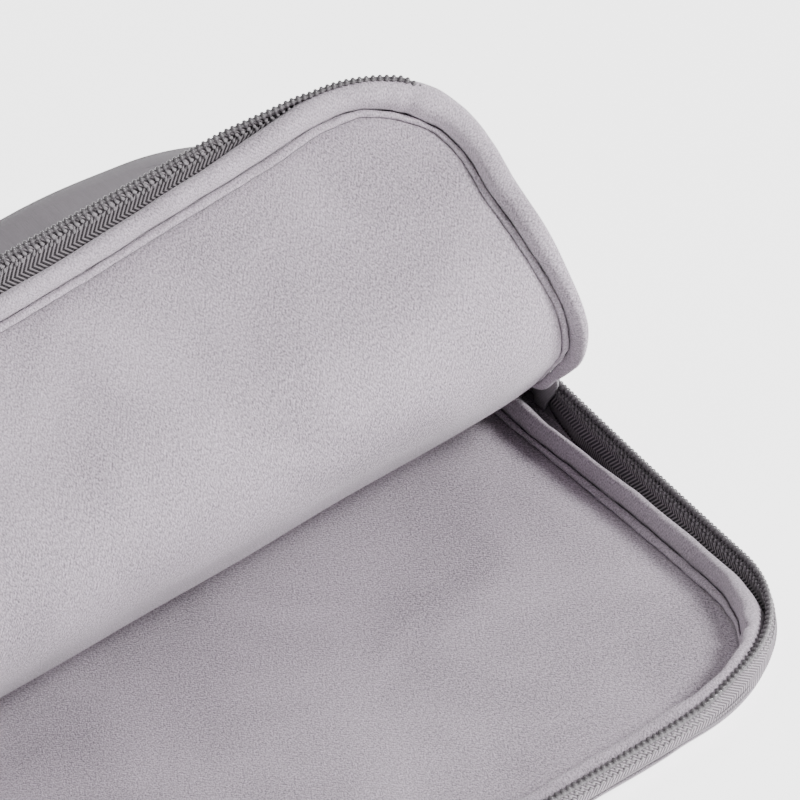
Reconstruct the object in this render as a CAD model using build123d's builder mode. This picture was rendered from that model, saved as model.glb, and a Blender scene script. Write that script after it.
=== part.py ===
from build123d import *
import os

# Laptop sleeve with a padded front panel that unzips along one long edge and part of both
# short edges. X runs along the long edges, Y across to the closed end, Z up, in millimetres.
# Both halves of the sleeve share one build-up, measured as a height from their outer face.

# Driving dimensions
WIDTH = 380.0
DEPTH = 270.0
THICKNESS = 24.0
CORNER_RADIUS = 39.0
FABRIC = 1.0
ZIP_INSET = 4.4
HINGE_Y = -18.5
PANEL_LENGTHS = (30.0, 12.0, 14.0)
FOLD_ANGLES = (48.0, 32.0, 32.0, 32.0)
STRETCHES = ("root", "lower", "middle", "tip")

# Heights of each layer above the outer face of its half
SHELL_HEIGHT = 3.5
SHELL_LIP = 0.8
SHELL_EDGE_RADIUS = 2.4
FOAM_LEVELS = (1.2, 5.4)
LINING_LEVELS = (5.6, 6.4)
SEAM_LEVELS = (6.5, 7.1)
RIM_LEVELS = (6.6, 11.4)
TAPE_LEVELS = (3.6, 9.9)
COIL_LEVELS = (9.9, 11.2)
STITCH_LEVELS = ((7.9, 8.3), (8.8, 9.2))

# Insets of each ring from the outline, outer then inner
LIP_INSET = 4.2
FOAM_INSET = 4.8
LINING_INSET = 5.0
RIM_INSETS = (6.5, 12.9)
SEAM_INSETS = (13.4, 14.8)
TAPE_HALF_WIDTH = 0.4
COIL_HALF_WIDTH = 0.65
TAPE_INSETS = (ZIP_INSET - TAPE_HALF_WIDTH, ZIP_INSET + TAPE_HALF_WIDTH)
COIL_INSETS = (ZIP_INSET - COIL_HALF_WIDTH, ZIP_INSET + COIL_HALF_WIDTH)
STITCH_INSETS = (TAPE_INSETS[1], COIL_INSETS[1])
GUSSET_LINING_INSETS = (5.1, 5.9)
RIM_EDGE_RADIUS = 2.0

# Fold lines of the front panel
PIVOT_HEIGHT = THICKNESS - SHELL_HEIGHT
SKIN_GAP = 0.15
FOAM_SETBACK = 2.6

# Ends of the zip and the side walls beyond them
TAPE_OVERRUN = 6.0
STOP_GAP = 0.2
STOP_LENGTH = 1.8
WALL_GAP = 0.5
TAB_GAP = 0.3
TAB_LENGTH = 10.0
TAB_LEVELS = (6.6, THICKNESS - 6.6)

# Slider and pull
SLIDER_LENGTH = 11.0
SLIDER_HEIGHT = 6.0
SLIDER_CORNER_RADIUS = 2.0
SLIDER_BACK_Y = HINGE_Y - 2.5
OUTER_PLATE_INSETS = (2.4, 3.4)
INNER_PLATE_INSETS = (5.35, 6.15)
WEDGE_LENGTH = 3.0
WEDGE_THICKNESS = 0.9
PIN_INSET = 1.2
PIN_RADIUS = 0.45
PIN_CLEARANCE = 0.1
EYE_RADIUS = 1.0
EYE_WIDTH = 5.0
EAR_THICKNESS = 0.8
EAR_CLEARANCE = 0.15
TAB_THICKNESS = 1.0
PULL_LENGTH = 13.0
GRIP_LENGTH = 18.0
GRIP_WIDTH = 7.0
GRIP_THICKNESS = 1.8
GRIP_CORNER_RADIUS = 1.5

BACK = "back"
FRONT = "front"
FAR_Y = DEPTH / 2
NEAR_Y = -DEPTH / 2
os.makedirs("parts", exist_ok=True)


def finish(part, label):
    part.label = label
    export_step(part, "parts/" + label + ".step")


def heights(levels, half):
    """The lower and upper z of a layer, whose levels count from its half's outer face."""
    if half == BACK:
        return levels
    return THICKNESS - levels[1], THICKNESS - levels[0]


def outline(inset, mode=Mode.ADD):
    RectangleRounded(WIDTH - 2 * inset, DEPTH - 2 * inset, CORNER_RADIUS - inset, mode=mode)


def keep_strip(y_span):
    with Locations((0, (y_span[0] + y_span[1]) / 2)):
        Rectangle(WIDTH, y_span[1] - y_span[0], mode=Mode.INTERSECT)


def slab(label, plane, half, inset, levels, y_span):
    """A flat layer of the sleeve, cut to a strip across it."""
    low, high = heights(levels, half)
    with BuildPart() as layer:
        with BuildSketch(plane.offset(low)):
            outline(inset)
            keep_strip(y_span)
        extrude(amount=high - low)
    finish(layer.part, label)


def band(label, plane, half, insets, level_pairs, y_span, edge_radius=0.0):
    """Rings that follow the outline, one for each pair of levels, cut to a strip."""
    with BuildPart() as ring:
        for levels in level_pairs:
            low, high = heights(levels, half)
            with BuildSketch(plane.offset(low)):
                outline(insets[0])
                outline(insets[1], Mode.SUBTRACT)
                keep_strip(y_span)
            extrude(amount=high - low)
        if edge_radius:
            upward = Axis(plane.origin, plane.z_dir)
            inner_end = -1 if half == BACK else 0
            crest = ring.faces().group_by(upward)[inner_end]
            fillet(crest.edges(), edge_radius)
    finish(ring.part, label)


def tray(label, plane, half, y_span):
    """The outer fabric: a face with a rounded edge, a low wall and a lip for the zip."""
    inward = 1 if half == BACK else -1
    face_z = 0 if half == BACK else THICKNESS
    with BuildPart() as shell:
        with BuildSketch(plane.offset(face_z)):
            outline(0)
        extrude(amount=inward * SHELL_HEIGHT)
        upward = Axis(plane.origin, plane.z_dir)
        outer_face = shell.faces().sort_by(upward)[0 if half == BACK else -1]
        fillet(outer_face.edges(), SHELL_EDGE_RADIUS)
        with BuildSketch(plane.offset(face_z + inward * FABRIC)):
            outline(FABRIC)
        extrude(amount=inward * (SHELL_HEIGHT - FABRIC - SHELL_LIP), mode=Mode.SUBTRACT)
        with BuildSketch(plane.offset(face_z + inward * (SHELL_HEIGHT - SHELL_LIP))):
            outline(LIP_INSET)
        extrude(amount=inward * SHELL_LIP, mode=Mode.SUBTRACT)
        with BuildSketch(plane.offset(face_z)):
            with Locations((0, (y_span[0] + y_span[1]) / 2)):
                Rectangle(WIDTH, y_span[1] - y_span[0])
        extrude(amount=inward * SHELL_HEIGHT, mode=Mode.INTERSECT)
    finish(shell.part, label)


def padded_layers(start, ending, plane, half, foam_span, skin_span):
    """Shell, foam, lining, padded rim and seam strip of one stretch of one half.

    Each label is the start, the name of the piece and the ending.
    """
    tray(start + "shell" + ending, plane, half, foam_span)
    slab(start + "foam" + ending, plane, half, FOAM_INSET, FOAM_LEVELS, foam_span)
    slab(start + "lining" + ending, plane, half, LINING_INSET, LINING_LEVELS, skin_span)
    rim_label = start + "rim" + ending
    band(rim_label, plane, half, RIM_INSETS, (RIM_LEVELS,), skin_span, RIM_EDGE_RADIUS)
    band(start + "seam_strip" + ending, plane, half, SEAM_INSETS, (SEAM_LEVELS,), skin_span)


def zip_side(start, ending, plane, half, y_span):
    """One side of the zip along the outline: tape, coil and the stitching beside it."""
    band(start + "zip_tape" + ending, plane, half, TAPE_INSETS, (TAPE_LEVELS,), y_span)
    band(start + "zip_coil" + ending, plane, half, COIL_INSETS, (COIL_LEVELS,), y_span)
    stitching_label = start + "coil_stitching" + ending
    band(stitching_label, plane, half, STITCH_INSETS, STITCH_LEVELS, y_span)


# Back half, whole, with the lower side of the zip
TAPE_END_Y = HINGE_Y + TAPE_OVERRUN
padded_layers("back_", "", Plane.XY, BACK, (NEAR_Y, FAR_Y), (NEAR_Y, FAR_Y))
zip_side("lower_", "", Plane.XY, BACK, (NEAR_Y, TAPE_END_Y))

# Closed stretch of the front half, from the first fold line to the far edge
front_foam_span = (HINGE_Y + FOAM_SETBACK, FAR_Y)
front_skin_span = (HINGE_Y + SKIN_GAP, FAR_Y)
padded_layers("front_", "", Plane.XY, FRONT, front_foam_span, front_skin_span)

# Side wall of the closed stretch, outside and inside
WALL_LEVELS = (TAPE_LEVELS[0], THICKNESS - TAPE_LEVELS[0])
wall_span = (TAPE_END_Y + STOP_LENGTH + WALL_GAP, FAR_Y)
band("side_gusset", Plane.XY, BACK, TAPE_INSETS, (WALL_LEVELS,), wall_span)
wall_lining_span = (HINGE_Y + TAB_LENGTH + WALL_GAP, FAR_Y)
band("gusset_lining", Plane.XY, BACK, GUSSET_LINING_INSETS, (TAB_LEVELS,), wall_lining_span)

# Stops and cover tabs where both zip tapes end
with BuildPart() as stops:
    with BuildSketch(Plane.XY.offset(COIL_LEVELS[0])):
        outline(COIL_INSETS[0])
        outline(COIL_INSETS[1], Mode.SUBTRACT)
        keep_strip((TAPE_END_Y + STOP_GAP, TAPE_END_Y + STOP_GAP + STOP_LENGTH))
    extrude(amount=THICKNESS - 2 * COIL_LEVELS[0])
finish(stops.part, "zip_end_stops")

for side_name, side in (("left", -1), ("right", 1)):
    tab_x = side * (WIDTH / 2 - sum(GUSSET_LINING_INSETS) / 2)
    with BuildPart() as tab:
        with BuildSketch(Plane.XY.offset(TAB_LEVELS[0])):
            with Locations((tab_x, HINGE_Y + TAB_GAP + TAB_LENGTH / 2)):
                Rectangle(GUSSET_LINING_INSETS[1] - GUSSET_LINING_INSETS[0], TAB_LENGTH - TAB_GAP)
        extrude(amount=TAB_LEVELS[1] - TAB_LEVELS[0])
    finish(tab.part, "zip_end_tab_" + side_name)

# Front panel that opens, in four stretches, each turned about the fold line before it
fold_ys = [HINGE_Y - sum(PANEL_LENGTHS[:folds]) for folds in range(len(STRETCHES))]
end_ys = fold_ys[1:] + [NEAR_Y]
placed = Location((0, 0, 0))
for stretch, fold_y, end_y, angle in zip(STRETCHES, fold_ys, end_ys, FOLD_ANGLES):
    fold_point = Location((0, fold_y, PIVOT_HEIGHT))
    placed = placed * fold_point * Location((0, 0, 0), (-angle, 0, 0)) * fold_point.inverse()
    panel_plane = Plane(placed)
    last = stretch == "tip"
    foam_span = (end_y if last else end_y + FOAM_SETBACK, fold_y - FOAM_SETBACK)
    skin_span = (end_y if last else end_y + SKIN_GAP, fold_y - SKIN_GAP)
    padded_layers("flap_", "_" + stretch, panel_plane, FRONT, foam_span, skin_span)
    zip_side("upper_", "_" + stretch, panel_plane, FRONT, skin_span)

# Zip slider: two plates either side of the coils, a wedge between them and two ears
MIDDLE_Z = THICKNESS / 2
LEFT_X = -WIDTH / 2
SLIDER_Y = SLIDER_BACK_Y - SLIDER_LENGTH / 2
WEDGE_Y = SLIDER_BACK_Y - SLIDER_LENGTH + WEDGE_LENGTH / 2
slider_side = Plane((LEFT_X, 0, 0), x_dir=(0, 1, 0), z_dir=(1, 0, 0))
with BuildPart() as slider:
    for insets in (OUTER_PLATE_INSETS, INNER_PLATE_INSETS):
        with BuildSketch(slider_side.offset(insets[0])):
            with Locations((SLIDER_Y, MIDDLE_Z)):
                RectangleRounded(SLIDER_LENGTH, SLIDER_HEIGHT, SLIDER_CORNER_RADIUS)
        extrude(amount=insets[1] - insets[0])
    with BuildSketch(slider_side.offset(OUTER_PLATE_INSETS[1])):
        with Locations((WEDGE_Y, MIDDLE_Z)):
            Rectangle(WEDGE_LENGTH, WEDGE_THICKNESS)
    extrude(amount=INNER_PLATE_INSETS[0] - OUTER_PLATE_INSETS[1])
    for turn in (-1, 1):
        ear_z = MIDDLE_Z + turn * (EYE_WIDTH / 2 + EAR_THICKNESS / 2 + EAR_CLEARANCE)
        with BuildSketch(Plane.XY.offset(ear_z - EAR_THICKNESS / 2)):
            with Locations((LEFT_X + (PIN_INSET + OUTER_PLATE_INSETS[0]) / 2, SLIDER_Y)):
                Rectangle(OUTER_PLATE_INSETS[0] - PIN_INSET, 2 * EYE_RADIUS)
            with Locations((LEFT_X + PIN_INSET, SLIDER_Y)):
                Circle(EYE_RADIUS)
                Circle(PIN_RADIUS, mode=Mode.SUBTRACT)
        extrude(amount=EAR_THICKNESS)
finish(slider.part, "slider_body")

PIN_LENGTH = EYE_WIDTH + 2 * EAR_THICKNESS + 2 * EAR_CLEARANCE
with BuildPart() as pin:
    with BuildSketch(Plane.XY.offset(MIDDLE_Z - PIN_LENGTH / 2)):
        with Locations((LEFT_X + PIN_INSET, SLIDER_Y)):
            Circle(PIN_RADIUS)
    extrude(amount=PIN_LENGTH)
finish(pin.part, "slider_pin")

# Pull: a metal link that turns on the pin, and a soft grip on its end
with BuildPart() as link:
    with BuildSketch(Plane.XY.offset(MIDDLE_Z - EYE_WIDTH / 2)):
        with Locations((LEFT_X + PIN_INSET, SLIDER_Y)):
            Circle(EYE_RADIUS)
        with Locations((LEFT_X + PIN_INSET, SLIDER_Y + PULL_LENGTH / 2)):
            Rectangle(TAB_THICKNESS, PULL_LENGTH)
        with Locations((LEFT_X + PIN_INSET, SLIDER_Y)):
            Circle(PIN_RADIUS + PIN_CLEARANCE, mode=Mode.SUBTRACT)
    extrude(amount=EYE_WIDTH)
finish(link.part, "pull_link")

with BuildPart() as grip:
    with BuildSketch(slider_side.offset(PIN_INSET - GRIP_THICKNESS / 2)):
        with Locations((SLIDER_Y + PULL_LENGTH + GRIP_LENGTH / 2, MIDDLE_Z)):
            RectangleRounded(GRIP_LENGTH, GRIP_WIDTH, GRIP_CORNER_RADIUS)
    extrude(amount=GRIP_THICKNESS)
finish(grip.part, "pull_grip")
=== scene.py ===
import math

import bpy
import numpy as np
from mathutils import Matrix, Vector


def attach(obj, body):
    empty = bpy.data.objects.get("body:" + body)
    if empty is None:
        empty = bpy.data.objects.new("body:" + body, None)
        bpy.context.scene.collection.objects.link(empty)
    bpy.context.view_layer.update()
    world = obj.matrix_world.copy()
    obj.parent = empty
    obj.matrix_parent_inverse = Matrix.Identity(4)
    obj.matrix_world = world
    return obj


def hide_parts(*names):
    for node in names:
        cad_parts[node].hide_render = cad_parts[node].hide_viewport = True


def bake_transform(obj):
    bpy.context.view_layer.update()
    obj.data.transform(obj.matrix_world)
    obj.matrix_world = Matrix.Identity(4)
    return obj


# Laptop sleeve with its front panel folded back. Shapes are worked out in millimetres, flat and
# closed, in the frame of the CAD model. The front panel is then bent along the same four folds
# as its joints. A place on the outline is a distance s along the zip and an inset from the edge.
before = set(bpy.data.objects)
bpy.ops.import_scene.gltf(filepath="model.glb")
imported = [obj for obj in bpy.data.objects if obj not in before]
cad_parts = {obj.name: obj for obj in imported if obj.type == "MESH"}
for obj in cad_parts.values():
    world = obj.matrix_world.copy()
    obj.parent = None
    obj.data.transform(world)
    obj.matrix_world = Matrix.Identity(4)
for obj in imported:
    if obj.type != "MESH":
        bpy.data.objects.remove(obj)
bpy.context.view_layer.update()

MM = 0.001
HALF_X = 190.0
HALF_Y = 135.0
RADIUS = 39.0
THICK = 24.0
HINGE_Y = -18.5
PIVOT_Z = 20.5
# The front panel's folds: distance from the hinge, angle, and half the length that bends. The
# panel is cut into pieces between them.
FOLDS = (0.0, 30.0, 42.0, 56.0)
ANGLES = tuple(math.radians(a) for a in (48.0, 32.0, 32.0, 32.0))
TANGENTS = (8.9, 6.0, 6.0, 6.0)
CUTS = (16.5, 36.0, 49.0)
STRETCHES = ("root", "lower", "middle", "tip")
ZIP_INSET = 4.4
COIL_LEVEL = 10.6
PITCH = 1.5
RISE = 4.7
RISE_STARTS = 20.0
RISE_WIDTH = 120.0
CORNER_X = HALF_X - RADIUS
CORNER_Y = HALF_Y - RADIUS
ZIP_RADIUS = RADIUS - ZIP_INSET
ARC = ZIP_RADIUS * math.pi / 2
SIDES = (2 * CORNER_Y, 2 * CORNER_X, 2 * CORNER_Y, 2 * CORNER_X)
EDGES = np.cumsum([0.0] + [length for side in SIDES for length in (side, ARC)])
ZIP_END_Y = HINGE_Y + 6.0
NEAR_MIDDLE = (EDGES[2] + EDGES[3]) / 2
# The edge is plain from this distance on.
PLAIN = 256.0
SLUMP = 0.3
SLUMP_X = (120.0, 180.0)
SLUMP_Y = (10.0, 125.0)
WHOLE_TURN = 2 * math.pi

# Insets of the rims, seams, linings and upper coil along the right-hand edge, as
# (distance along, inset).
BACK_RIM = ((40, 5.2), (100, 10.6), (120, 11.4), (141, 10.3), (156, 8.9), (186, 8.1), (200, 7.4),
            (210, 5.6), (228, 6.4), (237, 6.7), (256, 5.2))
BACK_SEAM = ((40, 10.4), (100, 14.2), (114, 14.4), (126, 13.6), (156, 12.1), (186, 11.6),
             (200, 12.4), (210, 12.0), (220, 11.0), (237, 10.6), (256, 10.4))
BACK_FLOOR = ((40, 12.6), (100, 16.2), (126, 15.4), (171, 14.2), (200, 14.0), (212, 12.8),
              (220, 11.9), (256, 11.3))
FRONT_RIM = ((40, 6.8), (100, 9.0), (120, 9.4), (130, 8.4), (141, 6.4), (152, 4.4), (171, 4.1),
             (186, 4.0), (196, 3.3), (204, 1.9), (211, 1.1), (216, 1.3), (221, 2.2), (228, 3.2),
             (240, 5.6), (256, 7.0), (271, 8.5), (286, 9.5), (306, 10.5), (397, 12.5))
FRONT_SEAM = ((40, 12.6), (108, 11.4), (122, 11.0), (132, 9.4), (141, 8.3), (156, 7.9), (171, 9.6),
              (186, 10.1), (207, 8.8), (228, 9.6), (237, 11.2), (256, 12.8), (286, 14.1),
              (306, 15.2), (397, 17.6))
FRONT_FLOOR = ((40, 15.0), (108, 12.8), (122, 12.2), (132, 10.9), (141, 10.0), (156, 9.8),
               (171, 11.4), (186, 11.9), (207, 10.2), (228, 11.6), (237, 13.4), (256, 15.4),
               (286, 16.4), (306, 17.4), (397, 19.8))
FRONT_COIL = ((40, 4.4), (112, 4.4), (140, 6.3), (200, 6.1), (210, 4.0), (219, 2.9), (228, 4.4),
              (240, 5.9), (250, 5.3), (262, 4.4))
# Along the same edge: how far the upper coil is tucked down, the greatest inset of the lower
# tape's inner foot, and how much of its height the upper rim keeps.
FRONT_DROP = ((114, 0.0), (126, 1.6), (145, 3.6), (190, 5.6), (202, 4.8), (210, 2.2), (218, 0.2),
              (230, 0.0))
WEDGE_WIDTH = ((108, 6.3), (124, 8.6))
RIM_THINNING = ((108, 0.35), (125, 0.45), (150, 1.0))
LOWEST_COIL = 4.7
# The lower coil is pulled inwards near its corner: (place, half width, distance).
COIL_TUG = (234.0, 12.0, 1.6)

# ---------------------------------------------------------------- paths and bending

def along(s):
    """Points of the outline and their outward normals, at distances measured at the zip."""
    s = np.asarray(s, float)
    part = np.clip(np.searchsorted(EDGES, s, side="right") - 1, 0, 7)
    t = s - EDGES[part]
    side, corner = part // 2, part % 2 == 1
    angle = -side * math.pi / 2 - np.where(corner, t / ZIP_RADIUS, 0.0)
    nx, ny = np.cos(angle), np.sin(angle)
    centre_x = np.array([CORNER_X, -CORNER_X, -CORNER_X, CORNER_X])
    centre_y = np.array([-CORNER_Y, -CORNER_Y, CORNER_Y, CORNER_Y])
    at = np.where(corner, side, (side + 3) % 4)
    go = np.where(corner, 0.0, t)
    x = centre_x[at] + RADIUS * nx + go * ny
    y = centre_y[at] + RADIUS * ny - go * nx
    return np.stack([x, y, nx, ny], -1)


def right_s(y):
    """Distance along the outline to the place at y on the right-hand side."""
    return CORNER_Y - y


def left_s(y):
    """Distance along the outline to the place at y on the left-hand side."""
    return EDGES[4] + y + CORNER_Y


def steps(marks):
    """Distances from one mark to the next, each mark with the spacing that follows it."""
    found = []
    for (a, gap), (b, _) in zip(marks, marks[1:]):
        found.append(np.linspace(a, b, max(2, int(round((b - a) / gap)) + 1))[:-1])
    return np.concatenate(found + [[marks[-1][0]]])


side_marks = [(0.0, 4.0), (right_s(HINGE_Y) - 12, 1.0)]
side_marks += [(right_s(HINGE_Y - cut), 1.0) for cut in CUTS]
side_marks += [(right_s(HINGE_Y) + 64, 1.5), (EDGES[1], 1.1)]
right_stations = steps(side_marks)
left_stations = EDGES[4] + (EDGES[1] - right_stations[::-1])
LOOP = np.unique(np.round(np.concatenate([
    right_stations,
    steps([(EDGES[1], 1.1), (EDGES[2], 2.0), (EDGES[3], 1.1), (EDGES[4], 1.0)]),
    left_stations,
    steps([(EDGES[5], 1.5), (EDGES[6], 4.0), (EDGES[7], 1.5), (EDGES[8], 1.0)]),
]), 6))


def zip_run(step=None):
    """Distances along the outline from one end of the zip to the other."""
    a, b = right_s(ZIP_END_Y), left_s(ZIP_END_Y)
    if step:
        return np.arange(a + step / 2, b, step)
    inside = LOOP[(LOOP > a + 0.05) & (LOOP < b - 0.05)]
    return np.concatenate([[a], inside, [b]])


def smooth(value):
    """Eases from 0 to 1."""
    value = np.clip(value, 0, 1)
    return value * value * (3 - 2 * value)


def rise(x, y):
    """How far the zip climbs towards its right-hand end. The left half stays level."""
    share = np.clip((y + HALF_Y - ZIP_INSET) / (HINGE_Y + HALF_Y - ZIP_INSET), 0, 1)
    return RISE * share ** 2 * smooth((x - RISE_STARTS) / RISE_WIDTH)


def place_of(x, y):
    """The distance along the outline of the edge point nearest to x, y, seen on the right."""
    ax = np.abs(x)
    turn = np.arctan2(-CORNER_Y - y, np.maximum(ax - CORNER_X, 1e-6))
    corner = EDGES[1] + turn * ZIP_RADIUS
    straight = np.where(HALF_X - ax < HALF_Y + y, CORNER_Y - y, EDGES[2] + CORNER_X - ax)
    s = np.where((ax > CORNER_X) & (y < -CORNER_Y), corner, straight)
    return np.where(x < 0, np.maximum(s, PLAIN), s)


def shape_at(s, marks):
    """A size that changes along the right-hand edge. The left edge is plain all the way."""
    s = np.asarray(s, float)
    left = np.maximum(2 * NEAR_MIDDLE - s, PLAIN)
    at = np.where(s > EDGES[6], s - EDGES[8], np.where(s > NEAR_MIDDLE, left, s))
    places, values = zip(*marks)
    return np.interp(at, places, values)


def inset_of(x, y):
    """How far a place lies in from the outline."""
    ax, ay = np.abs(x), np.abs(y)
    round_part = RADIUS - np.hypot(ax - CORNER_X, ay - CORNER_Y)
    return np.where((ax > CORNER_X) & (ay > CORNER_Y), round_part,
                    np.minimum(HALF_X - ax, HALF_Y - ay))


def slump(points):
    """The closed end lies a little flatter towards its right-hand corner."""
    across = smooth((points[:, 0] - SLUMP_X[0]) / (SLUMP_X[1] - SLUMP_X[0]))
    share = across * smooth((points[:, 1] - SLUMP_Y[0]) / (SLUMP_Y[1] - SLUMP_Y[0]))
    return points * np.stack([np.ones_like(share), np.ones_like(share), 1 - SLUMP * share], -1)


# The front panel's bend, at fine distances from the hinge: how far it has turned, and where the
# line through the fold axes runs.
fine = np.linspace(-40.0, 140.0, 7201)
turned = np.zeros_like(fine)
shrink = np.ones_like(fine)
for at, angle, reach in zip(FOLDS, ANGLES, TANGENTS):
    turned += angle * np.clip((fine - at + reach) / (2 * reach), 0, 1)
    shrink[np.abs(fine - at) < reach] *= (angle / 2) / math.tan(angle / 2)
gap = fine[1] - fine[0]
line_y = np.cumsum(-np.cos(turned) * shrink) * gap
line_z = np.cumsum(np.sin(turned) * shrink) * gap
line_y += -fine[0] - line_y[0]
line_z -= line_z[0]


def bend(points):
    """Carries flat, closed points of the front panel to where it rests, folded back."""
    s, h = HINGE_Y - points[:, 1], PIVOT_Z - points[:, 2]
    a = np.interp(s, fine, turned)
    y = HINGE_Y + np.interp(s, fine, line_y) - h * np.sin(a)
    z = PIVOT_Z + np.interp(s, fine, line_z) - h * np.cos(a)
    moved = np.stack([points[:, 0], y, z], -1)
    still = s < -TANGENTS[0]
    moved[still] = points[still]
    return moved


def waves(s, lengths, seed):
    """A smooth wandering value of about unit size along s."""
    own = np.random.default_rng(seed)
    total = np.zeros_like(np.asarray(s, float))
    for length in lengths:
        total += np.sin(WHOLE_TURN * s / (length * own.uniform(0.85, 1.15))
                        + own.uniform(0, 6.3)) * own.uniform(0.6, 1.0)
    return total / len(lengths) * 1.3


# ---------------------------------------------------------------- mesh makers

def ring(s, insets, levels, caps=False):
    """A closed section carried along the outline. Insets and levels: one row per station."""
    st = along(s)
    n, k = insets.shape
    x = st[:, None, 0] - insets * st[:, None, 2]
    y = st[:, None, 1] - insets * st[:, None, 3]
    points = np.stack([x, y, levels], -1).reshape(-1, 3)
    hops = np.hypot(np.diff(insets, axis=1), np.diff(levels, axis=1))
    across = np.concatenate([np.zeros((n, 1)), np.cumsum(hops, 1)], 1)
    uv = np.stack([np.repeat(s, k), across.reshape(-1)], -1)
    i, j = np.meshgrid(np.arange(n - 1), np.arange(k), indexing="ij")
    after = (j + 1) % k
    faces = np.stack([i * k + j, (i + 1) * k + j, (i + 1) * k + after, i * k + after],
                     -1).reshape(-1, 4)
    faces = faces.tolist()
    if caps:
        faces.append(list(range(k)))
        faces.append([(n - 1) * k + c for c in reversed(range(k))])
    return points, faces, uv


def slab_faces(rows, columns):
    """Faces of a sheet with thickness: a grid of points, its copy beneath, and the edge."""
    i, j = np.meshgrid(np.arange(rows - 1), np.arange(columns - 1), indexing="ij")
    at = i * columns + j
    quads = np.stack([at, at + 1, at + columns + 1, at + columns], -1).reshape(-1, 4)
    faces = quads.tolist() + (quads[:, ::-1] + rows * columns).tolist()
    last = (rows - 1) * columns
    edge = list(range(columns)) + [row * columns + columns - 1 for row in range(1, rows)]
    edge += [last + column for column in range(columns - 2, -1, -1)]
    edge += [row * columns for row in range(rows - 2, 0, -1)]
    for a, b in zip(edge, edge[1:] + edge[:1]):
        faces.append([a, a + rows * columns, b + rows * columns, b])
    return faces


# Columns of a sheet are closest together near its edge: distances from the edge.
EDGE_COLUMNS = (0.0, 1.2, 2.4, 3.4, 4.2, 5.0, 5.8, 6.6, 7.4, 8.4, 9.8, 11.6, 14.0, 18.0)


def rows_grid(inset, level, thickness):
    """A sheet inside the outline, in rows across the sleeve. Level gives its exposed face."""
    r = RADIUS - inset
    turn = np.radians(np.linspace(90, 0, 26))
    ends = np.stack([CORNER_Y + r * np.sin(turn), CORNER_X + r * np.cos(turn)], -1)
    straight = steps([(-CORNER_Y, 1.5), (HINGE_Y - 62, 1.0)]
                     + [(HINGE_Y - cut, 1.0) for cut in CUTS[::-1]]
                     + [(HINGE_Y + 12, 4.0), (CORNER_Y, 1.0)])
    y = np.concatenate([-ends[:-1, 0], straight, ends[::-1][1:, 0]])
    w = np.concatenate([ends[:-1, 1], np.full(len(straight), CORNER_X + r), ends[::-1][1:, 1]])
    near = np.array(EDGE_COLUMNS)
    inner = np.linspace(0, 1, 26)[1:]
    half = [np.concatenate([ww - near, (ww - near[-1]) * (1 - inner)]) for ww in w]
    x = np.array([np.concatenate([-h, h[::-1][1:]]) for h in half])
    yy = np.repeat(y[:, None], x.shape[1], 1)
    top = level(x, yy)
    upper = np.stack([x, yy, top], -1).reshape(-1, 3)
    lower = np.stack([x, yy, top - thickness], -1).reshape(-1, 3)
    uv = np.concatenate([upper[:, :2], lower[:, :2]])
    return np.concatenate([upper, lower]), slab_faces(*x.shape), uv


def merge(*layers):
    """Several layers as one."""
    points, faces, uvs, base = [], [], [], 0
    for p, f, u in layers:
        faces += [[v + base for v in face] for face in f]
        points.append(p)
        uvs.append(u)
        base += len(p)
    return np.concatenate(points), faces, np.concatenate(uvs)


def beads(s, inset, level, profile, around=8, slant=0.0, tilt=None):
    """One small lofted body at each station. Profile: (height, half along, half across).
    Slant leans it along the outline, and tilt across it."""
    st = along(s)
    tilt = np.zeros_like(s) if tilt is None else tilt
    lean_in, upright = np.sin(tilt)[:, None], np.cos(tilt)[:, None]
    turn = np.linspace(0, WHOLE_TURN, around, endpoint=False)
    k = len(profile) * around
    points = np.zeros((len(s), k, 3))
    for row, (dz, a, b) in enumerate(profile):
        u = a * np.cos(turn) + slant * dz
        v = b * np.sin(turn)
        block = slice(row * around, (row + 1) * around)
        inwards = inset[:, None] + v * upright - dz * lean_in
        points[:, block, 0] = st[:, None, 0] - inwards * st[:, None, 2] + u * st[:, None, 3]
        points[:, block, 1] = st[:, None, 1] - inwards * st[:, None, 3] - u * st[:, None, 2]
        points[:, block, 2] = level[:, None] + dz * upright + v * lean_in
    one = []
    for row in range(len(profile) - 1):
        for c in range(around):
            d = (c + 1) % around
            one.append([row * around + c, row * around + d,
                        (row + 1) * around + d, (row + 1) * around + c])
    one.append(list(range(around))[::-1])
    one.append([(len(profile) - 1) * around + c for c in range(around)])
    faces = [[v + i * k for v in face] for i in range(len(s)) for face in one]
    uv = np.stack([np.repeat(s, k), np.tile([p[0] for p in profile for _ in range(around)],
                                            len(s))], -1)
    return points.reshape(-1, 3), faces, uv


def normals_of(points, faces):
    """Smooth normals worked out before a layer is cut, so that no cut shows."""
    normal = np.zeros_like(points)
    for size in sorted({len(f) for f in faces}):
        f = np.array([g for g in faces if len(g) == size])
        face_normal = np.cross(points[f[:, 2]] - points[f[:, 0]],
                               points[f[:, 3 % size]] - points[f[:, 1]])
        for c in range(size):
            np.add.at(normal, f[:, c], face_normal)
    length = np.linalg.norm(normal, axis=1, keepdims=True)
    return normal / np.where(length > 1e-12, length, 1)


def volume_of(points, faces):
    """Six times the volume. Its sign tells which way the faces look."""
    total = 0.0
    for size in sorted({len(f) for f in faces}):
        f = np.array([g for g in faces if len(g) == size])
        for c in range(1, size - 1):
            total += np.einsum("ij,ij->", points[f[:, 0]],
                               np.cross(points[f[:, c]], points[f[:, c + 1]]))
    return total


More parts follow.
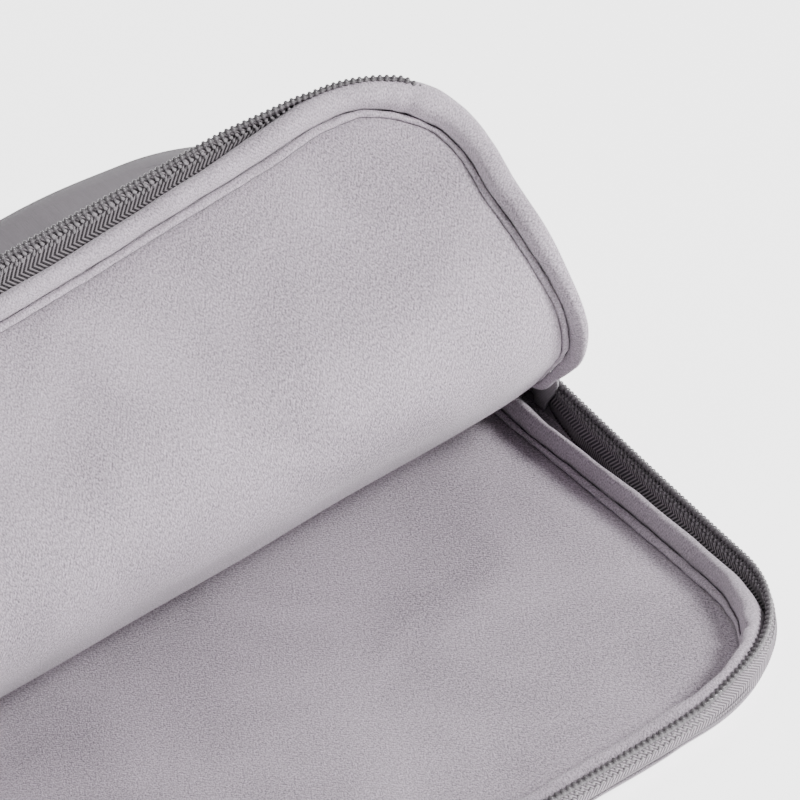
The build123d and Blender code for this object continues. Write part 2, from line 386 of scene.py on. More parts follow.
def mesh_object(name, points, faces, uv, material, normals=None, sharp=None):
    """A Blender object out of points and uv in millimetres."""
    mesh = bpy.data.meshes.new(name)
    mesh.from_pydata((points * MM).tolist(), [], faces)
    mesh.update()
    layer = mesh.uv_layers.new(name="UVMap")
    index = np.zeros(len(mesh.loops), np.int32)
    mesh.loops.foreach_get("vertex_index", index)
    layer.data.foreach_set("uv", (uv[index] * MM).astype(np.float32).reshape(-1))
    mesh.shade_smooth()
    if sharp:
        mesh.set_sharp_from_angle(angle=math.radians(sharp))
    if normals is not None:
        mesh.normals_split_custom_set_from_vertices(normals.tolist())
    obj = bpy.data.objects.new(name, mesh)
    bpy.context.scene.collection.objects.link(obj)
    mesh.materials.append(material)
    return obj


def back_piece(name, layer, material, nodes, sharp=None):
    """A layer of the back half, which doesn't move."""
    points, faces, uv = layer
    points = slump(points)
    if volume_of(points, faces) < 0:
        faces = [f[::-1] for f in faces]
    obj = mesh_object(name, points, faces, uv, material, sharp=sharp)
    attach(obj, "base")
    if nodes:
        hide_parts(*nodes)
    return obj


def cut_ends(faces):
    """The faces that close a piece where it was cut from the next one."""
    edges = {(f[i - 1], f[i]) for f in faces for i in range(len(f))}
    onward = {b: a for a, b in edges if (b, a) not in edges}
    ends = []
    while onward:
        start, at = onward.popitem()
        loop = [start]
        while at != start:
            loop.append(at)
            at = onward.pop(at)
        ends.append(loop)
    return ends


def front_pieces(name, layer, material, nodes_for, sharp=None):
    """Turns a layer over to the front half, bends it, and cuts it so that each piece crosses
    one fold."""
    points, faces, uv = layer
    flat = slump(points * [1, 1, -1] + [0, 0, THICK])
    placed = bend(flat)
    if volume_of(placed, faces) < 0:
        faces = [f[::-1] for f in faces]
    normals = None if sharp else normals_of(placed, faces)
    mean_y = np.array([flat[f, 1].mean() for f in faces])
    group = np.searchsorted(CUTS, HINGE_Y - mean_y)
    made = []
    for number, stretch in enumerate(STRETCHES):
        chosen = [f for f, g in zip(faces, group) if g == number]
        if not chosen:
            continue
        used = np.unique(np.concatenate([np.array(f) for f in chosen]))
        again = np.full(len(points), -1)
        again[used] = np.arange(len(used))
        chosen = [again[f].tolist() for f in map(np.array, chosen)]
        chosen += cut_ends(chosen)
        obj = mesh_object(name + "_" + stretch, placed[used], chosen, uv[used], material,
                          None if normals is None else normals[used], sharp)
        reach = TANGENTS[number] - (1.0 if number else 0.0)
        ends = bend(np.array([[0, HINGE_Y - FOLDS[number] + reach, PIVOT_Z],
                              [0, HINGE_Y - FOLDS[number] - reach, PIVOT_Z]])) * MM
        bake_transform(obj)
        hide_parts(*nodes_for(number, stretch))
        made.append(obj)
    return made


# ---------------------------------------------------------------- materials

class Tree:
    """One material, built out of nodes."""

    def __init__(self, name):
        self.material = bpy.data.materials.new(name)
        self.material.use_nodes = True
        self.nodes = self.material.node_tree.nodes
        self.links = self.material.node_tree.links
        self.shader = self.nodes["Principled BSDF"]

    def put(self, target, value):
        if isinstance(value, bpy.types.NodeSocket):
            self.links.new(value, target)
        else:
            target.default_value = value

    def node(self, kind, values=(), **props):
        n = self.nodes.new(kind)
        for key, value in props.items():
            setattr(n, key, value)
        for key, value in dict(values).items():
            self.put(n.inputs[key], value)
        return n

    def math(self, operation, a, b=0.0):
        return self.node("ShaderNodeMath", {0: a, 1: b}, operation=operation).outputs[0]

    def uv(self, across=1.0, up=1.0):
        n = self.node("ShaderNodeUVMap", uv_map="UVMap")
        m = self.node("ShaderNodeMapping", {0: n.outputs[0], "Scale": (across, up, 1.0)})
        return m.outputs[0]

    def axes(self, vector):
        n = self.node("ShaderNodeSeparateXYZ", {0: vector})
        return n.outputs[0], n.outputs[1]

    def noise(self, vector, scale, detail=2.0, rough=0.5, distort=0.0):
        return self.node("ShaderNodeTexNoise", {"Vector": vector, "Scale": scale,
                         "Detail": detail, "Roughness": rough, "Distortion": distort}).outputs[0]

    def mix(self, factor, a, b):
        """Sockets 6 and 7 of this node are its two colours, and output 2 is the mixed one."""
        n = self.node("ShaderNodeMix", data_type="RGBA")
        self.put(n.inputs[0], factor)
        self.put(n.inputs[6], a)
        self.put(n.inputs[7], b)
        return n.outputs[2]

    def span(self, value, a, b, c=0.0, d=1.0):
        return self.node("ShaderNodeMapRange", {0: value, 1: a, 2: b, 3: c, 4: d}).outputs[0]

    def bump(self, height, distance, strength=1.0):
        n = self.node("ShaderNodeBump", {"Height": height, "Distance": distance,
                                         "Strength": strength})
        self.links.new(n.outputs[0], self.shader.inputs["Normal"])

    def finish(self, **values):
        for key, value in values.items():
            self.put(self.shader.inputs[key.replace("_", " ")], value)
        return self.material


def plush_material(name, dark, light):
    """Short brushed pile: fine diagonal grain, soft patches where the nap lies another way."""
    t = Tree(name)
    uv = t.uv()
    lean = t.node("ShaderNodeMapping", {0: uv, "Rotation": (0, 0, 0.7), "Scale": (1.0, 0.55, 1.0)})
    grain = t.noise(lean.outputs[0], 3000.0, 2.0, 0.7)
    tuft = t.noise(uv, 1300.0, 2.0, 0.6)
    u, v = t.axes(uv)
    slanted = t.math("ADD", u, t.math("MULTIPLY", v, 0.8))
    ribs = t.math("SINE", t.math("ADD", t.math("MULTIPLY", slanted, WHOLE_TURN / (0.85 * MM)),
                                 t.math("MULTIPLY", tuft, 5.0)))
    patch = t.noise(uv, 26.0, 3.0, 0.55, 0.6)
    cloud = t.noise(uv, 7.0, 2.0, 0.5, 0.3)
    mixed = t.math("ADD", t.math("MULTIPLY", t.span(grain, 0.4, 0.6), 0.42),
                   t.math("MULTIPLY", t.span(tuft, 0.4, 0.6), 0.16))
    mixed = t.math("ADD", mixed, t.math("MULTIPLY", ribs, 0.05))
    mixed = t.math("ADD", mixed, t.math("MULTIPLY", t.span(patch, 0.3, 0.7), 0.2))
    mixed = t.math("ADD", mixed, t.math("MULTIPLY", t.span(cloud, 0.3, 0.7), 0.12))
    colour = t.mix(mixed, dark, light)
    t.bump(t.math("ADD", grain, t.math("MULTIPLY", tuft, 0.6)), 0.0003, 0.9)
    return t.finish(Base_Color=colour, Roughness=0.95, Sheen_Weight=0.35, Sheen_Roughness=0.45,
                    Specular_IOR_Level=0.15)


def canvas_material(name, dark, light, pitch=0.55):
    """Plain-woven outer cloth, with slubs and slight wear."""
    t = Tree(name)
    u, v = t.axes(t.uv())
    turns = WHOLE_TURN / (pitch * MM)
    over = t.math("SINE", t.math("MULTIPLY", u, turns))
    under = t.math("SINE", t.math("MULTIPLY", v, turns))
    weave = t.span(t.math("MULTIPLY", over, under), -1, 1)
    slub = t.noise(t.uv(900.0, 90.0), 1.0, 3.0, 0.6)
    heather = t.noise(t.uv(), 1500.0, 2.0, 0.6)
    wear = t.noise(t.uv(), 11.0, 4.0, 0.6, 0.4)
    mixed = t.math("ADD", t.math("MULTIPLY", weave, 0.3), t.math("MULTIPLY", slub, 0.3))
    mixed = t.math("ADD", mixed, t.math("MULTIPLY", heather, 0.25))
    mixed = t.math("ADD", mixed, t.math("MULTIPLY", wear, 0.15))
    t.bump(t.math("ADD", weave, slub), 0.00018, 0.6)
    return t.finish(Base_Color=t.mix(mixed, dark, light), Roughness=0.86, Sheen_Weight=0.15,
                    Specular_IOR_Level=0.25)


INNER_FACE_V = 40.0
CHEVRON_WIDTH = 3.2
OUTER_STRIPE = 0.85
INNER_STRIPE = 1.15
YARN_PITCH = 0.42


def tape_material(name):
    """Herringbone zip tape: pale on its outer face; its inner face is painted far darker as shade,
    with lighter yarns.
    """
    t = Tree(name)
    u, v = t.axes(t.uv(1000.0, 1000.0))
    side = t.math("GREATER_THAN", v, INNER_FACE_V / 2)
    turns = t.span(side, 0, 1, WHOLE_TURN / OUTER_STRIPE, WHOLE_TURN / INNER_STRIPE)
    chevron = t.math("MULTIPLY", t.math("PINGPONG", v, CHEVRON_WIDTH), 0.9)
    stripe = t.math("SINE", t.math("MULTIPLY", t.math("ADD", u, chevron), turns))
    yarn = t.math("SINE", t.math("MULTIPLY", v, WHOLE_TURN / YARN_PITCH))
    fuzz = t.noise(t.uv(), 2600.0, 2.0, 0.6)
    pattern = t.math("ADD", t.span(stripe, -0.3, 0.9, 0.0, 0.8),
                     t.math("MULTIPLY", t.span(yarn, -1, 1), 0.15))
    pattern = t.math("ADD", pattern, t.math("MULTIPLY", t.math("SUBTRACT", fuzz, 0.5), 0.5))
    outer = t.mix(pattern, (0.11, 0.096, 0.108, 1), (0.46, 0.41, 0.455, 1))
    # Painted shade: the inner face's colours are much darker than the outer face's, standing in
    # for the shadow that face lies in.
    inner = t.mix(pattern, (0.012, 0.01, 0.012, 1), (0.36, 0.325, 0.35, 1))
    t.bump(pattern, 0.0002, 0.6)
    return t.finish(Base_Color=t.mix(side, outer, inner), Roughness=0.8, Sheen_Weight=0.1,
                    Specular_IOR_Level=0.2)


def coil_material(name):
    """Moulded nylon, scuffed here and there."""
    t = Tree(name)
    tone = t.noise(t.uv(), 500.0, 2.0, 0.5)
    scuff = t.noise(t.uv(), 90.0, 3.0, 0.6)
    colour = t.mix(t.math("ADD", t.math("MULTIPLY", tone, 0.6), t.math("MULTIPLY", scuff, 0.4)),
                   (0.042, 0.038, 0.042, 1), (0.18, 0.166, 0.178, 1))
    return t.finish(Base_Color=colour, Roughness=t.span(scuff, 0.3, 0.7, 0.12, 0.26),
                    Specular_IOR_Level=0.6)


def thread_material(name, dark, light):
    """Twisted polyester thread."""
    t = Tree(name)
    u, v = t.axes(t.uv())
    lengthwise = t.math("ADD", u, t.math("MULTIPLY", v, 2.0))
    twist = t.math("SINE", t.math("MULTIPLY", lengthwise, 14000.0))
    fuzz = t.noise(t.uv(), 3000.0, 2.0)
    t.bump(twist, 0.00008, 0.6)
    return t.finish(Base_Color=t.mix(t.span(t.math("ADD", twist, fuzz), -1, 2), dark, light),
                    Roughness=0.7, Sheen_Weight=0.1)


def solid_material(name, dark, light, scale, metallic, rough):
    """For the foam and the plain nodes: uses the object's own coordinates."""
    t = Tree(name)
    place = t.node("ShaderNodeTexCoord").outputs["Object"]
    cloud = t.noise(place, scale, 4.0, 0.6)
    speck = t.noise(place, scale * 12, 2.0, 0.6)
    mixed = t.math("ADD", t.math("MULTIPLY", cloud, 0.6), t.math("MULTIPLY", speck, 0.4))
    t.bump(speck, 0.00005, 0.4)
    return t.finish(Base_Color=t.mix(mixed, dark, light), Metallic=metallic,
                    Roughness=t.span(cloud, 0.3, 0.7, rough * 0.8, rough * 1.2))


plush = plush_material("plush_lining", (0.13, 0.112, 0.13, 1), (0.79, 0.692, 0.79, 1))
rim_plush = plush_material("plush_rim", (0.14, 0.122, 0.14, 1), (0.79, 0.692, 0.79, 1))
canvas = canvas_material("outer_fabric", (0.125, 0.112, 0.125, 1), (0.31, 0.283, 0.31, 1))
patch_cloth = canvas_material("patch_fabric", (0.2, 0.186, 0.2, 1), (0.5, 0.47, 0.5, 1), 0.7)
tape = tape_material("zip_tape")
coil = coil_material("zip_coil")
thread = thread_material("coil_thread", (0.13, 0.12, 0.13, 1), (0.42, 0.393, 0.415, 1))
seam_thread = thread_material("seam_thread", (0.1, 0.09, 0.1, 1), (0.24, 0.22, 0.24, 1))
foam_skin = solid_material("foam", (0.25, 0.25, 0.26, 1), (0.4, 0.4, 0.41, 1), 300.0, 0.0, 0.9)
metal = solid_material("slider_metal", (0.06, 0.06, 0.065, 1), (0.12, 0.12, 0.125, 1), 220.0,
                       0.85, 0.34)
rubber = solid_material("pull_rubber", (0.09, 0.088, 0.092, 1), (0.15, 0.147, 0.152, 1), 500.0,
                        0.0, 0.6)


# ---------------------------------------------------------------- layers of one half

RIM_FOOT = 6.1
BRIM_LEVEL = 3.7
BACK_RIM_SOLE = 4.6
BACK_CREST = 11.3
FRONT_CREST = 10.9
FULLNESS = 0.8
OUTER_CLOTH = 0.8
OUTER_FACE_INSET = 12.9
FOAM_INSET = 10.6
FOAM_TOP = 3.3
FOAM_BOTTOM = 1.0
BACK_SEAM_LEVEL = 4.5
FRONT_SEAM_LEVEL = 5.7
LINING_THICKNESS = 0.5
BACK_LINING_INSET = 8.0
FRONT_LINING_INSET = 7.0
# The outer cloth's edge, from where it is sewn to the tape to the flat face: (inset, level).
CLOTH_EDGE = ((4.5, 5.8), (4.15, 6.0), (3.85, 5.85), (3.8, 5.5), (4.2, 5.0), (4.9, 4.4),
              (5.8, 3.7), (6.9, 2.8), (8.1, 1.8), (9.4, 0.95), (11.0, 0.35), (13.0, 0.0))
CLOTH_HEM = ((4.6, 5.55), (4.7, 5.5))
# Gathers in the roll where it turns the corners: (place, half width, depth).
GATHERS = ((EDGES[1] + 24, 1.5, 1.0), (EDGES[1] + 30, 2.2, 0.35), (EDGES[1] + 16, 2.0, 0.3),
           (EDGES[3] + 26, 1.6, 0.8), (EDGES[3] + 33, 2.2, 0.3))


def flat_level(height):
    """A face that lies level all over."""
    def level(x, y):
        return np.full_like(x, height)
    return level


def lining_level(seed, edge, low, height, reach):
    """The lining's face: tucked under the seam at its edge, then rising to its full height."""
    def level(x, y):
        beyond = inset_of(x, y) - shape_at(place_of(x, y), edge)
        d = np.clip(beyond, 0, None)
        rolling = waves(x + 0.4 * y, (83, 47), seed) + waves(y - 0.3 * x, (61, 38), seed + 1)
        puff = low + height * (1 - np.exp(-d / reach)) + 0.16 * rolling * smooth(d / 12)
        return puff - 0.7 * smooth((0.5 - beyond) / 1.2)
    return level


def rim_layer(seed, crest, front):
    """The padded roll, with a thin brim that reaches out to the foot of the tape."""
    s = LOOP
    st = along(s)
    outer = shape_at(s, FRONT_RIM if front else BACK_RIM)[:, None]
    foot = shape_at(s, FRONT_SEAM if front else BACK_SEAM)[:, None]
    lump = waves(s, (31, 19, 12), seed)[:, None]
    outer = outer + 0.14 * waves(s, (47, 23), seed + 1)[:, None]
    foot = foot + 0.14 * lump
    climb = rise(st[:, 0], st[:, 1])[:, None] / RISE
    top = crest + 0.18 * lump + (0.0 if front else 0.5) * climb
    turn = np.linspace(0, math.pi, 22)
    across = -np.sign(np.cos(turn)) * np.abs(np.cos(turn)) ** FULLNESS
    up = np.abs(np.sin(turn)) ** FULLNESS
    if front:
        top = RIM_FOOT + (top - RIM_FOOT) * shape_at(s, RIM_THINNING)[:, None]
    outer_foot = RIM_FOOT if front else BRIM_LEVEL
    inner_foot = RIM_FOOT if front else BACK_RIM_SOLE
    low = np.where(turn < math.pi / 2, outer_foot, inner_foot)
    insets = (outer + foot) / 2 + (foot - outer) / 2 * across
    levels = low + (top - low) * up
    for middle, wide, deep in GATHERS:
        pull = (0.4 if front else 1.0) * deep * np.exp(-((s - middle) / wide) ** 2)[:, None]
        inner_side = smooth((across + 0.5) / 1.3)
        insets = insets - pull * inner_side * 0.9
        levels = levels - pull * up * (0.35 + 0.65 * inner_side)
    brim_end = outer - 0.4 if front else np.minimum(5.2, outer - 0.4)
    brim = np.concatenate([brim_end, (brim_end + outer) / 2], 1)
    brim_top = np.full_like(brim, outer_foot + 0.1)
    under = foot + (brim_end - foot) * np.linspace(0, 1, 6)[1:]
    insets = np.concatenate([brim, insets, under], 1)
    sole = inner_foot + (outer_foot - 0.4 - inner_foot) * np.linspace(0, 1, 6)[1:]
    levels = np.concatenate([brim_top, levels, sole + 0 * under], 1)
    return ring(s, insets, levels)


def seam_layer(seed, front):
    """The narrow raised strip between the two seams."""
    s = LOOP
    near = shape_at(s, FRONT_SEAM if front else BACK_SEAM)[:, None] + 0.14
    far = shape_at(s, FRONT_FLOOR if front else BACK_FLOOR)[:, None] - 0.12
    near = near + 0.1 * waves(s, (13, 7, 4), seed)[:, None]
    far = far + 0.12 * waves(s, (17, 9, 5), seed + 1)[:, None]
    turn = np.linspace(0, math.pi, 9)
    insets = (near + far) / 2 - (far - near) / 2 * np.cos(turn)
    bulge = 1.0 + 0.18 * waves(s, (11, 6), seed + 2)[:, None]
    sunk = 1.2 * (1 - shape_at(s, RIM_THINNING))[:, None] if front else 0.0
    foot = FRONT_SEAM_LEVEL if front else BACK_SEAM_LEVEL
    levels = foot - sunk + bulge * np.abs(np.sin(turn)) ** 0.7
    return ring(s, insets, levels)


def coil_line(s, front):
    """Inset and level of the coil's middle at each station."""
    st = along(s)
    climb = rise(st[:, 0], st[:, 1])
    if front:
        drop = np.where((s < NEAR_MIDDLE) | (s > EDGES[6]), shape_at(s, FRONT_DROP), 0.0)
        return shape_at(s, FRONT_COIL), np.maximum(COIL_LEVEL - climb - drop, LOWEST_COIL)
    place, width, distance = COIL_TUG
    tug = distance * np.exp(-((s - place) / width) ** 2)
    return ZIP_INSET + tug, COIL_LEVEL + climb


def edge_drop(s, front):
    """How far the cloth's edge is folded down behind the panel, from 0 to 1."""
    if not front:
        return np.zeros_like(s)
    _, level = coil_line(s, True)
    return smooth((COIL_LEVEL - level) / (COIL_LEVEL - LOWEST_COIL))


def tape_feet(s, front):
    """Level of the outer face's foot, then inset and level of the inner face's foot."""
    fold = edge_drop(s, front)
    foot = TAPE_BOTTOM - FOLD_DEPTH * fold
    if front:
        inset = shape_at(s, FRONT_RIM) + 0.3
        level = foot + 0.7 * (1 - fold)
    else:
        inset = np.minimum(shape_at(s, BACK_RIM), shape_at(s, WEDGE_WIDTH)) - 0.3
        level = foot + BRIM_LEVEL + 0.3 - TAPE_BOTTOM
    inset = np.maximum(inset * (1 - fold) + FOLDED_INSET * fold, TAPE_FOOT + 2 * TAPE_HALF)
    return foot, inset, level


def on_inner_face(s, front, depth, proud):
    """Inset, level and tilt at a depth below the coil's middle, along the tape's inner face."""
    middle, level = coil_line(s, front)
    _, foot_inset, foot_level = tape_feet(s, front)
    tilt = np.arctan2(foot_inset - middle - TAPE_HALF, level - TAPE_TOP - foot_level)
    off = TAPE_HALF * np.cos(tilt) - TAPE_TOP * np.sin(tilt) + proud
    return (middle + off * np.cos(tilt) + depth * np.sin(tilt),
            level + off * np.sin(tilt) - depth * np.cos(tilt), tilt)


def tape_layer(front):
    """Tape from the edge of the outer cloth up to the coil: outer face, fold, inner face."""
    s = zip_run()
    middle, level = coil_line(s, front)
    middle, top = middle[:, None], level[:, None] - TAPE_TOP
    foot, inner_foot, inner_level = [value[:, None] for value in tape_feet(s, front)]
    share = np.linspace(0, 1, 7)
    outer = TAPE_FOOT + (middle - TAPE_HALF - TAPE_FOOT) * share ** 1.2
    inner = inner_foot + (middle + TAPE_HALF - inner_foot) * share
    outer_level = foot + (top - foot) * share
    inner_rise = inner_level + (top - inner_level) * share
    insets = np.concatenate([outer, inner[:, ::-1]], 1)
    levels = np.concatenate([outer_level, inner_rise[:, ::-1]], 1)
    points, faces, uv = ring(s, insets, levels, caps=True)
    k = insets.shape[1]
    inside = np.tile(np.arange(k) >= len(share), len(s))
    down = (top - levels).reshape(-1) + np.abs(insets - middle).reshape(-1) * 0.5
    uv[:, 1] = np.where(inside, INNER_FACE_V + down, down)
    return points, faces, uv


TOOTH = ((-0.96, 0.2, 0.28), (-0.82, 0.4, 0.52), (-0.5, 0.56, 0.74), (-0.1, 0.63, 0.84),
         (0.3, 0.61, 0.82), (0.62, 0.49, 0.68), (0.82, 0.31, 0.44), (0.9, 0.14, 0.2))
TOOTH_LEG = ((-2.5, 0.12, 0.14), (-2.35, 0.28, 0.24), (-2.1, 0.36, 0.3), (-1.2, 0.36, 0.32),
             (-0.5, 0.36, 0.32))
LEG_OFFSET = 0.12
STITCH = ((-0.46, 0.14, 0.1), (-0.3, 0.38, 0.24), (0.0, 0.46, 0.3), (0.3, 0.38, 0.24),
          (0.46, 0.14, 0.1))
# Rows of stitches: (depth below the coil, lean, how far they stand off the tape).
STITCH_ROWS = ((1.7, 0.3, LEG_OFFSET + 0.26), (2.95, -0.3, 0.1))
TAPE_FOOT = 3.85
TAPE_HALF = 0.3
TAPE_TOP = 0.5
TAPE_BOTTOM = 5.5
FOLD_DEPTH = 2.7
FOLDED_INSET = 4.9


def coil_layer(front):
    """Teeth with their legs down the tape's inner face, and the cord through the teeth."""
    s = zip_run(PITCH) + (PITCH / 2 if front else 0.0)
    s = s[s < left_s(ZIP_END_Y) - 0.4]
    middle, level = coil_line(s, front)
    teeth = beads(s, middle, level, TOOTH, 12, 0.1)
    leg_inset, leg_level, tilt = on_inner_face(s, front, 0.0, LEG_OFFSET)
    legs = beads(s, leg_inset, leg_level, TOOTH_LEG, 8, 0.16, tilt)
    line = zip_run()
    middle, level = coil_line(line, front)
    turn = np.linspace(0, WHOLE_TURN, 8, endpoint=False)
    insets = middle[:, None] + 0.55 * np.sin(turn)
    levels = level[:, None] - 0.4 + 0.8 * np.cos(turn)
    return merge(teeth, legs, ring(line, insets, levels, caps=True))


def stitch_layer(front):
    """Two rows of chain stitches along the tape, on both of its faces."""
    made = []
    for depth, lean, proud in STITCH_ROWS:
        s = zip_run(PITCH) + (0.4 if lean > 0 else 0.0)
        s = s[(s > right_s(ZIP_END_Y) + 0.6) & (s < left_s(ZIP_END_Y) - 0.6)]
        middle, level = coil_line(s, front)
        down = depth * (1 - 0.4 * edge_drop(s, front))
        inset, height, tilt = on_inner_face(s, front, down, proud)
        made.append(beads(s, inset, height, STITCH, 6, lean, tilt))
        made.append(beads(s, middle - 0.5 - 0.1 * (depth - 1.5), level - down, STITCH, 6, lean))
    return merge(*made)


def shell_layer(front, seed):
    """Outer cloth: the flat face and the soft edge that turns up to the tape."""
    s = LOOP
    outside = np.array(CLOTH_EDGE)
    inside = outside[::-1] + np.array([0.3, 0.85])
    inside[-2:] = CLOTH_HEM
    section = np.concatenate([outside, inside])
    wobble = 0.12 * waves(s, (53, 29), seed)[:, None]
    fold = edge_drop(s, front)[:, None]
    near_edge = np.clip((CLOTH_EDGE[-1][0] - section[:, 0]) / 9.0, 0, 1)
    insets = section[:, 0] + (wobble + 0.3 * fold) * near_edge
    levels = section[:, 1] * (1 - 0.45 * fold)
    edge = ring(s, insets, levels)
    face = rows_grid(OUTER_FACE_INSET, flat_level(OUTER_CLOTH), OUTER_CLOTH)
    return merge((edge[0], edge[1], edge[0][:, :2].copy()), face)


def foam_layer():
    return rows_grid(FOAM_INSET, flat_level(FOAM_TOP), FOAM_TOP - FOAM_BOTTOM)


# ---------------------------------------------------------------- the base

outer_back = back_piece("back_outer_cloth", shell_layer(False, 11), canvas,
                        ["back_shell"])
foam_back = back_piece("back_padding", foam_layer(), foam_skin, ["back_foam"], 40)
floor_puff = lining_level(21, BACK_FLOOR, low=4.3, height=2.0, reach=18.0)
floor_cloth = back_piece("back_lining_cloth",
                         rows_grid(BACK_LINING_INSET, floor_puff, LINING_THICKNESS),
                         plush, ["back_lining"])
rim_back = back_piece("back_padded_rim", rim_layer(31, BACK_CREST, False), rim_plush,
                      ["back_rim"])
back_piece("back_seam_binding", seam_layer(41, False), rim_plush,
           ["back_seam_strip"])
back_piece("lower_tape", tape_layer(False), tape, ["lower_zip_tape"])
back_piece("lower_coil", coil_layer(False), coil, ["lower_zip_coil"])
back_piece("lower_stitching", stitch_layer(False), thread, ["lower_coil_stitching"])


# The two walls of the closed stretch: (foot, top, climb of the top, inset, bulge, thickness).
OUTER_WALL = (5.4, 18.6, 2.0, 4.2, 0.8, 0.6)
INNER_WALL = (5.2, 17.6, 0.0, 5.6, 0.3, 0.5)


def gusset_layer(wall):
    """Wall of the stretch that stays closed, from the left end of the zip to the right one."""
    foot, top, top_climb, inset, bulge, thickness = wall
    s = np.concatenate([LOOP[LOOP > left_s(ZIP_END_Y) + 0.3] - EDGES[8],
                        [0.0], LOOP[(LOOP > 0.01) & (LOOP < right_s(ZIP_END_Y) - 0.3)]])
    real = np.where(s < 0, s + EDGES[8], s)
    st = along(real)
    climb = rise(st[:, 0], st[:, 1]) / RISE
    share = np.linspace(0, 1, 9)
    line = inset + bulge * np.sin(share * math.pi)
    level = foot + (top + top_climb * climb - foot)[:, None] * share[None]
    insets = np.concatenate([np.repeat(line[None], len(s), 0),
                             np.repeat((line + thickness)[None, ::-1], len(s), 0)], 1)
    levels = np.concatenate([level, level[:, ::-1]], 1)
    points, faces, uv = ring(real, insets, levels, caps=True)
    uv[:, 0] = np.repeat(s, insets.shape[1])
    return points, faces, uv


wall_cloth = back_piece("side_wall_cloth", gusset_layer(OUTER_WALL), canvas,
                        ["side_gusset"])
wall_lining = back_piece("side_wall_lining", gusset_layer(INNER_WALL), plush,
                         ["gusset_lining"])


PATCH_THICKNESS = 0.5
# Outline of the patch (height, first y, last y), its lean (heights, insets), and its knots
# (y, height, inset).
PATCH_EDGES = ((5.6, -13.0, -9.0), (9.0, -15.0, -8.8), (13.0, -18.5, -8.6), (17.0, -21.0, -8.5),
               (18.6, -21.6, -8.5))
PATCH_LEAN = ((5.6, 16.0), (7.2, 5.5))
PATCH_KNOTS = ((-14.2, 15.2, 6.3), (-12.4, 9.6, 7.1))
KNOT = ((-0.5, 0.1, 0.1), (-0.3, 0.34, 0.2), (0.3, 0.34, 0.2), (0.5, 0.1, 0.1))
STOP = ((-2.5, 0.7, 0.6), (-2.2, 0.95, 0.85), (2.2, 0.95, 0.85), (2.5, 0.7, 0.6))
STOP_GAP = 1.1


def end_patch(side):
    """The little woven patch sewn over the ends of both tapes."""
    heights, firsts, lasts = zip(*PATCH_EDGES)
    high = np.linspace(heights[0], heights[-1], 15)
    first = np.interp(high, heights, firsts)
    last = np.interp(high, heights, lasts)
    share = np.linspace(0, 1, 13)
    y = first[:, None] + (last - first)[:, None] * share
    z = high[:, None] + 0 * y
    lean_in = np.interp(high, *PATCH_LEAN)[:, None]
    dent = 0.4 * np.sin(math.pi * share) * np.sin((high - heights[0]) / 5.0)[:, None]
    x = side * (HALF_X - lean_in - dent)
    outer = np.stack([x, y, z], -1).reshape(-1, 3)
    inner = outer - [side * PATCH_THICKNESS, 0, 0]
    uv = np.concatenate([outer[:, 1:], inner[:, 1:]])
    return np.concatenate([outer, inner]), slab_faces(*y.shape), uv


def end_stitches(side):
    """Two knots of dark thread that hold the patch."""
    made = []
    for y, level, inset in PATCH_KNOTS:
        s = right_s(y) if side > 0 else left_s(y)
        made.append(beads(np.array([s]), np.array([inset]), np.array([level]), KNOT, 8, 0.5))
    return merge(*made)


def end_stops():
    """Moulded stops at both ends of the zip, midway between the two coils."""
    made = []
    for s, climb in ((right_s(ZIP_END_Y) - STOP_GAP, RISE), (left_s(ZIP_END_Y) + STOP_GAP, 0.0)):
        made.append(beads(np.array([s]), np.array([ZIP_INSET]), np.array([THICK / 2 + climb]),
                          STOP, 16))
    return merge(*made)


for side_name, side in (("left", -1), ("right", 1)):
    back_piece("zip_end_patch_" + side_name, end_patch(side), patch_cloth,
                              ["zip_end_tab_" + side_name])
    back_piece("zip_end_knots_" + side_name, end_stitches(side), seam_thread, [])
back_piece("zip_stops", end_stops(), coil, ["zip_end_stops"], 40)


# ---------------------------------------------------------------- the front half

def named(stem, front_node=None):
    """The CAD nodes that a stretch stands for. The root also has the part that stays closed."""
    def nodes(number, stretch):
        found = [stem + stretch]
        if number == 0 and front_node:
            found.append(front_node)
        return found
    return nodes


flap_outer = front_pieces("flap_outer_cloth", shell_layer(True, 12), canvas,
                          named("flap_shell_", "front_shell"))
flap_foam = front_pieces("flap_padding", foam_layer(), foam_skin,
                         named("flap_foam_", "front_foam"), 40)
flap_puff = lining_level(22, FRONT_FLOOR, low=5.9, height=1.1, reach=6.0)
flap_cloth = front_pieces("flap_lining_cloth",
                          rows_grid(FRONT_LINING_INSET, flap_puff, LINING_THICKNESS),
                          plush, named("flap_lining_", "front_lining"))
flap_rim = front_pieces("flap_padded_rim", rim_layer(32, FRONT_CREST, True), rim_plush,
                        named("flap_rim_", "front_rim"))
front_pieces("flap_seam_binding", seam_layer(42, True), rim_plush,
             named("flap_seam_strip_", "front_seam_strip"))
front_pieces("upper_tape", tape_layer(True), tape, named("upper_zip_tape_"))
front_pieces("upper_coil", coil_layer(True), coil, named("upper_zip_coil_"))
front_pieces("upper_stitching", stitch_layer(True), thread,
             named("upper_coil_stitching_"))

for node, material in (("slider_body", metal), ("slider_pin", metal), ("pull_link", metal),
                       ("pull_grip", rubber)):
    shown = bpy.data.objects[node]
    shown.data.materials.clear()
    shown.data.materials.append(material)
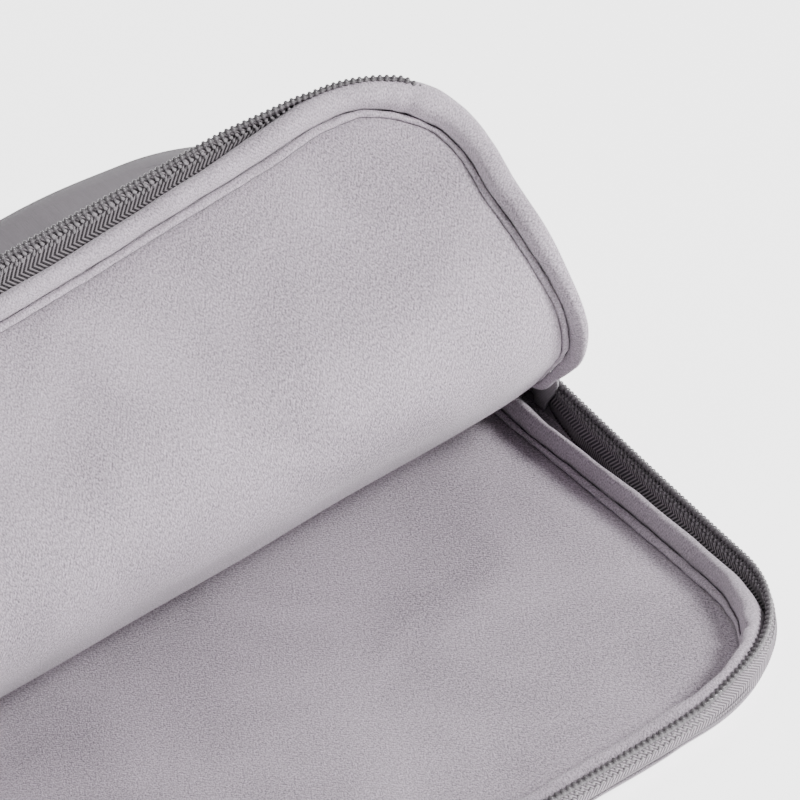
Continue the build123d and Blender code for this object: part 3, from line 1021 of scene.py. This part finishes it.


# ---------------------------------------------------------------- floor, light and camera

FLOOR = 4.0
FLOOR_LEVEL = -0.0003
floor_mesh = bpy.data.meshes.new("floor")
floor_mesh.from_pydata([(x * FLOOR, y * FLOOR, FLOOR_LEVEL)
                        for x, y in ((-1, -1), (1, -1), (1, 1), (-1, 1))], [], [(0, 1, 2, 3)])
floor = bpy.data.objects.new("floor", floor_mesh)
bpy.context.scene.collection.objects.link(floor)
pale = Tree("pale_floor")
pale.finish(Base_Color=(0.93, 0.93, 0.93, 1), Roughness=0.9, Emission_Color=(1, 1, 1, 1),
            Emission_Strength=2.6)
floor_mesh.materials.append(pale.material)

world = bpy.data.worlds.new("studio")
world.use_nodes = True
world.node_tree.nodes["Background"].inputs["Color"].default_value = (1.0, 0.995, 1.0, 1)
world.node_tree.nodes["Background"].inputs["Strength"].default_value = 0.3
bpy.context.scene.world = world


def area_light(name, at, towards, size, power):
    data = bpy.data.lights.new(name, "AREA")
    data.shape = "RECTANGLE"
    data.size = size[0]
    data.size_y = size[1]
    data.energy = power
    obj = bpy.data.objects.new(name, data)
    bpy.context.scene.collection.objects.link(obj)
    obj.location = at
    obj.rotation_euler = (Vector(towards) - Vector(at)).to_track_quat("-Z", "Y").to_euler()


area_light("key_softbox", (1.15, -1.05, 0.95), (0.1, -0.05, 0.0), (0.42, 0.42), 44.0)
area_light("top_softbox", (-0.3, 0.5, 1.7), (0.1, -0.03, 0.0), (1.4, 1.0), 10.0)

ELEVATION = math.radians(38.35)
AZIMUTH = math.radians(20.18)
ROLL = math.radians(-17.04)
LENS = 322.9
AIM = (0.1456, -0.0706, 0.0)
DISTANCE = 1.6009
SHIFT_RIGHT = -0.0325
SHIFT_UP = 0.0505
right = Vector((math.cos(AZIMUTH), -math.sin(AZIMUTH), 0.0))
up = Vector((math.sin(ELEVATION) * math.sin(AZIMUTH), math.sin(ELEVATION) * math.cos(AZIMUTH),
             math.cos(ELEVATION)))
back = Vector((-math.sin(AZIMUTH) * math.cos(ELEVATION), -math.cos(AZIMUTH) * math.cos(ELEVATION),
               math.sin(ELEVATION)))
rolled_right = math.cos(ROLL) * right + math.sin(ROLL) * up
rolled_up = -math.sin(ROLL) * right + math.cos(ROLL) * up
camera_data = bpy.data.cameras.new("camera")
camera_data.lens = LENS
camera_data.sensor_width = 36.0
camera_data.clip_end = 20.0
camera = bpy.data.objects.new("camera", camera_data)
bpy.context.scene.collection.objects.link(camera)
place = Vector(AIM) + DISTANCE * back + SHIFT_RIGHT * rolled_right + SHIFT_UP * rolled_up
turned_to = Matrix((rolled_right, rolled_up, back)).transposed().to_4x4()
camera.matrix_world = Matrix.Translation(place) @ turned_to
bpy.context.scene.camera = camera
